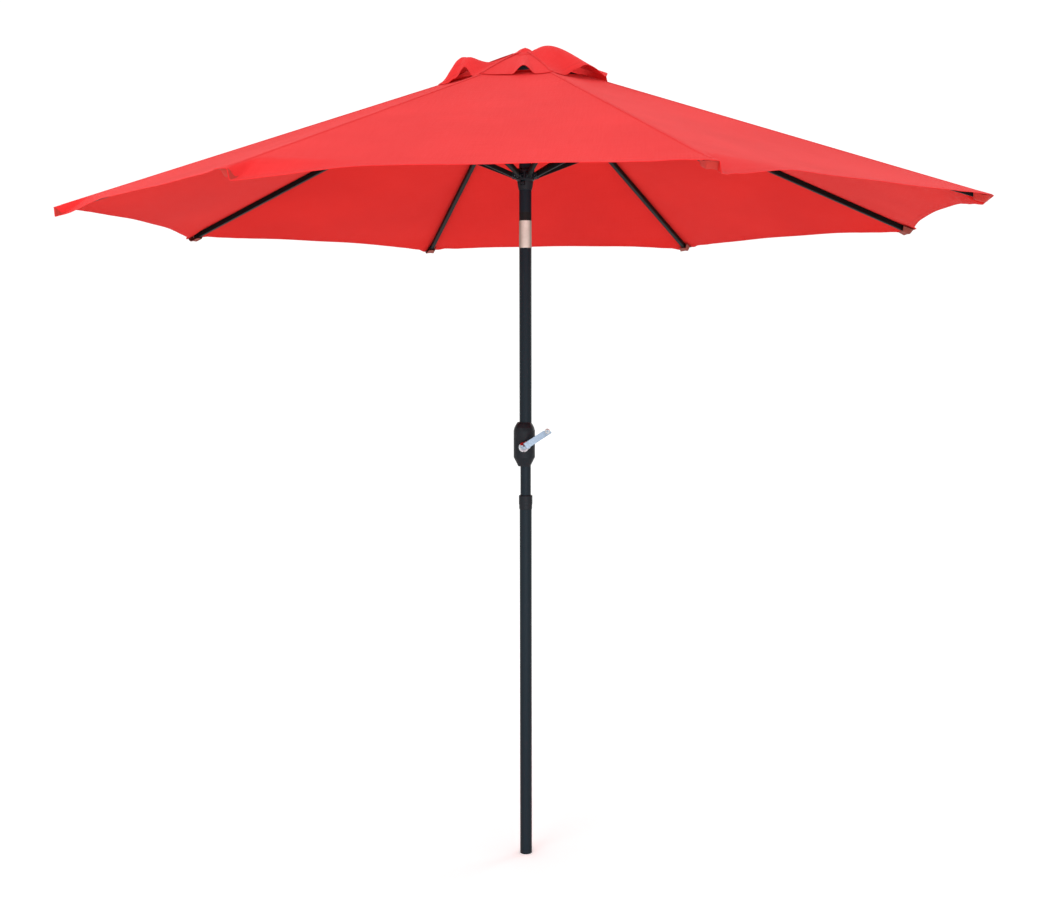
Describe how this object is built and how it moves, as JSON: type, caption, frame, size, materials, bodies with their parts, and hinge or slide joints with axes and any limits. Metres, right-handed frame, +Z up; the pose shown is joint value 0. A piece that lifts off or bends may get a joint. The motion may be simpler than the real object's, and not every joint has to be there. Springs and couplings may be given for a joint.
{
  "type": "patio umbrella",
  "caption": "Octagonal market umbrella on a two-piece pole, with crank lift, push-button tilt, folding ribs and a vented fabric canopy.",
  "frame": {"origin": "centre of the pole's lower end", "axes": "+Z up along the pole, -Y towards the side with the crank, +X to the right seen from that side"},
  "size_m": [2.6252, 2.6252, 2.524],
  "materials": {
    "pole_paint": "smooth powder coat, blue-black, low sheen",
    "rib_paint": "black powder coat",
    "black_plastic": "moulded, satin",
    "tip_plastic": "moulded, satin",
    "spool_plastic": "moulded, natural",
    "grip_plastic": "moulded, pale",
    "chrome": "bright plating",
    "ferrule_metal": "satin silver",
    "inner_steel": "zinc-plated",
    "housing_screw_steel": "blackened",
    "tilt_casting": "black die-casting",
    "canopy_fabric": "plain-weave polyester, red",
    "button_cover": "covered in the canopy's fabric"
  },
  "bodies": {
    "base_pole": {"lower_pole": "pole_paint", "foot_plug": "black_plastic", "pole_collar": "black_plastic"},
    "mast": {"joint_tube": "pole_paint", "mast_tube": "pole_paint", "crank_housing_front": "black_plastic", "crank_housing_rear": "black_plastic", "housing_screws": "housing_screw_steel", "brake_spring": "inner_steel", "tilt_socket": "tilt_casting", "tilt_ferrule": "ferrule_metal", "tilt_pin": "inner_steel"},
    "crank": {"crank_shaft": "inner_steel", "cord_spool": "spool_plastic", "crank_boss": "chrome", "crank_arm": "chrome"},
    "crank_grip": {"crank_knob": "grip_plastic"},
    "upper_mast": {"tilt_fork": "tilt_casting", "upper_tube": "pole_paint", "button_spring": "inner_steel", "top_hub": "black_plastic", "hub_pins": "inner_steel", "top_button": "button_cover", "vent_cap": "canopy_fabric"},
    "tilt_release": {"tilt_button": "black_plastic"},
    "pulley": {"cord_pulley": "spool_plastic"},
    "runner": {"runner": "black_plastic", "runner_pins": "inner_steel"},
    "rib_1": {"rib_1": "rib_paint", "rib_tip_1": "tip_plastic", "canopy_gore_1": "canopy_fabric"},
    "strut_1": {"strut_1": "rib_paint"},
    "rib_2": {"rib_2": "rib_paint", "rib_tip_2": "tip_plastic", "canopy_gore_2": "canopy_fabric"},
    "strut_2": {"strut_2": "rib_paint"},
    "rib_3": {"rib_3": "rib_paint", "rib_tip_3": "tip_plastic", "canopy_gore_3": "canopy_fabric"},
    "strut_3": {"strut_3": "rib_paint"},
    "rib_4": {"rib_4": "rib_paint", "rib_tip_4": "tip_plastic", "canopy_gore_4": "canopy_fabric"},
    "strut_4": {"strut_4": "rib_paint"},
    "rib_5": {"rib_5": "rib_paint", "rib_tip_5": "tip_plastic", "canopy_gore_5": "canopy_fabric"},
    "strut_5": {"strut_5": "rib_paint"},
    "rib_6": {"rib_6": "rib_paint", "rib_tip_6": "tip_plastic", "canopy_gore_6": "canopy_fabric"},
    "strut_6": {"strut_6": "rib_paint"},
    "rib_7": {"rib_7": "rib_paint", "rib_tip_7": "tip_plastic", "canopy_gore_7": "canopy_fabric"},
    "strut_7": {"strut_7": "rib_paint"},
    "rib_8": {"rib_8": "rib_paint", "rib_tip_8": "tip_plastic", "canopy_gore_8": "canopy_fabric"},
    "strut_8": {"strut_8": "rib_paint"}
  },
  "joints": [
    {"name": "mast_lift", "type": "slide", "parent": "base_pole", "child": "mast", "axis": [0, 0, 1], "range_m": [0, 0.15]},
    {"name": "mast_tilt", "type": "hinge", "parent": "mast", "child": "upper_mast", "pos_m": [0, 0, 2.008], "axis": [-1, 0, 0], "range_deg": [0, 30]},
    {"name": "tilt_button_press", "type": "slide", "parent": "upper_mast", "child": "tilt_release", "axis": [0.342, 0.9397, 0], "range_m": [0, 0.003], "stiffness_N_per_m": 400, "springref_m": -0.003, "deforming": ["button_spring"]},
    {"name": "canopy_fold", "type": "hinge", "parent": "upper_mast", "child": "rib_1", "pos_m": [0.03449, 0.01033, 2.474], "axis": [0.2869, -0.958, 0], "range_deg": [-65, 0], "deforming": ["canopy_gore_1", "canopy_gore_2", "canopy_gore_3", "canopy_gore_4", "canopy_gore_5", "canopy_gore_6", "canopy_gore_7", "canopy_gore_8", "vent_cap"]},
    {"name": "rib_2_fold", "type": "hinge", "parent": "upper_mast", "child": "rib_2", "pos_m": [0.01708, 0.03169, 2.474], "axis": [0.8802, -0.4745, 0], "range_deg": [-65, 0]},
    {"name": "rib_3_fold", "type": "hinge", "parent": "upper_mast", "child": "rib_3", "pos_m": [-0.01033, 0.03449, 2.474], "axis": [0.958, 0.2869, 0], "range_deg": [-65, 0]},
    {"name": "rib_4_fold", "type": "hinge", "parent": "upper_mast", "child": "rib_4", "pos_m": [-0.03169, 0.01708, 2.474], "axis": [0.4745, 0.8802, 0], "range_deg": [-65, 0]},
    {"name": "rib_5_fold", "type": "hinge", "parent": "upper_mast", "child": "rib_5", "pos_m": [-0.03449, -0.01033, 2.474], "axis": [-0.2869, 0.958, 0], "range_deg": [-65, 0]},
    {"name": "rib_6_fold", "type": "hinge", "parent": "upper_mast", "child": "rib_6", "pos_m": [-0.01708, -0.03169, 2.474], "axis": [-0.8802, 0.4745, 0], "range_deg": [-65, 0]},
    {"name": "rib_7_fold", "type": "hinge", "parent": "upper_mast", "child": "rib_7", "pos_m": [0.01033, -0.03449, 2.474], "axis": [-0.958, -0.2869, 0], "range_deg": [-65, 0]},
    {"name": "rib_8_fold", "type": "hinge", "parent": "upper_mast", "child": "rib_8", "pos_m": [0.03169, -0.01708, 2.474], "axis": [-0.4745, -0.8802, 0], "range_deg": [-65, 0]},
    {"name": "strut_1_swing", "type": "hinge", "parent": "rib_1", "child": "strut_1", "pos_m": [0.43682, 0.1308, 2.308], "axis": [0.2869, -0.958, 0], "range_deg": [0, 130]},
    {"name": "strut_2_swing", "type": "hinge", "parent": "rib_2", "child": "strut_2", "pos_m": [0.21639, 0.40137, 2.308], "axis": [0.8802, -0.4745, 0], "range_deg": [0, 130]},
    {"name": "strut_3_swing", "type": "hinge", "parent": "rib_3", "child": "strut_3", "pos_m": [-0.1308, 0.43682, 2.308], "axis": [0.958, 0.2869, 0], "range_deg": [0, 130]},
    {"name": "strut_4_swing", "type": "hinge", "parent": "rib_4", "child": "strut_4", "pos_m": [-0.40137, 0.21639, 2.308], "axis": [0.4745, 0.8802, 0], "range_deg": [0, 130]},
    {"name": "strut_5_swing", "type": "hinge", "parent": "rib_5", "child": "strut_5", "pos_m": [-0.43682, -0.1308, 2.308], "axis": [-0.2869, 0.958, 0], "range_deg": [0, 130]},
    {"name": "strut_6_swing", "type": "hinge", "parent": "rib_6", "child": "strut_6", "pos_m": [-0.21639, -0.40137, 2.308], "axis": [-0.8802, 0.4745, 0], "range_deg": [0, 130]},
    {"name": "strut_7_swing", "type": "hinge", "parent": "rib_7", "child": "strut_7", "pos_m": [0.1308, -0.43682, 2.308], "axis": [-0.958, -0.2869, 0], "range_deg": [0, 130]},
    {"name": "strut_8_swing", "type": "hinge", "parent": "rib_8", "child": "strut_8", "pos_m": [0.40137, -0.21639, 2.308], "axis": [-0.4745, -0.8802, 0], "range_deg": [0, 130]},
    {"name": "runner_slide", "type": "hinge", "parent": "strut_1", "child": "runner", "pos_m": [0.03449, 0.01033, 2.14199], "axis": [0.2869, -0.958, 0], "range_deg": [-65, 0]},
    {"name": "crank_turn", "type": "hinge", "parent": "mast", "child": "crank", "pos_m": [-0.006, 0, 1.31], "axis": [0, -1, 0], "range_deg": [-2620, 0]},
    {"name": "pulley_turn", "type": "hinge", "parent": "upper_mast", "child": "pulley", "pos_m": [-0.007, 0, 2.456], "axis": [0, -1, 0], "range_deg": [-5060, 0]},
    {"name": "grip_spin", "type": "hinge", "parent": "crank", "child": "crank_grip", "pos_m": [0.06728, -0.06, 1.36057], "axis": [0, -1, 0], "continuous": true}
  ],
  "couplings": [
    {"joint": "rib_2_fold", "follows": "canopy_fold", "ratio": 1},
    {"joint": "rib_3_fold", "follows": "canopy_fold", "ratio": 1},
    {"joint": "rib_4_fold", "follows": "canopy_fold", "ratio": 1},
    {"joint": "rib_5_fold", "follows": "canopy_fold", "ratio": 1},
    {"joint": "rib_6_fold", "follows": "canopy_fold", "ratio": 1},
    {"joint": "rib_7_fold", "follows": "canopy_fold", "ratio": 1},
    {"joint": "rib_8_fold", "follows": "canopy_fold", "ratio": 1},
    {"joint": "strut_1_swing", "follows": "canopy_fold", "ratio": -2},
    {"joint": "strut_2_swing", "follows": "canopy_fold", "ratio": -2},
    {"joint": "strut_3_swing", "follows": "canopy_fold", "ratio": -2},
    {"joint": "strut_4_swing", "follows": "canopy_fold", "ratio": -2},
    {"joint": "strut_5_swing", "follows": "canopy_fold", "ratio": -2},
    {"joint": "strut_6_swing", "follows": "canopy_fold", "ratio": -2},
    {"joint": "strut_7_swing", "follows": "canopy_fold", "ratio": -2},
    {"joint": "strut_8_swing", "follows": "canopy_fold", "ratio": -2},
    {"joint": "runner_slide", "follows": "canopy_fold", "ratio": 1},
    {"joint": "crank_turn", "follows": "canopy_fold", "ratio": 40.17},
    {"joint": "pulley_turn", "follows": "canopy_fold", "ratio": 77.24}
  ]
}
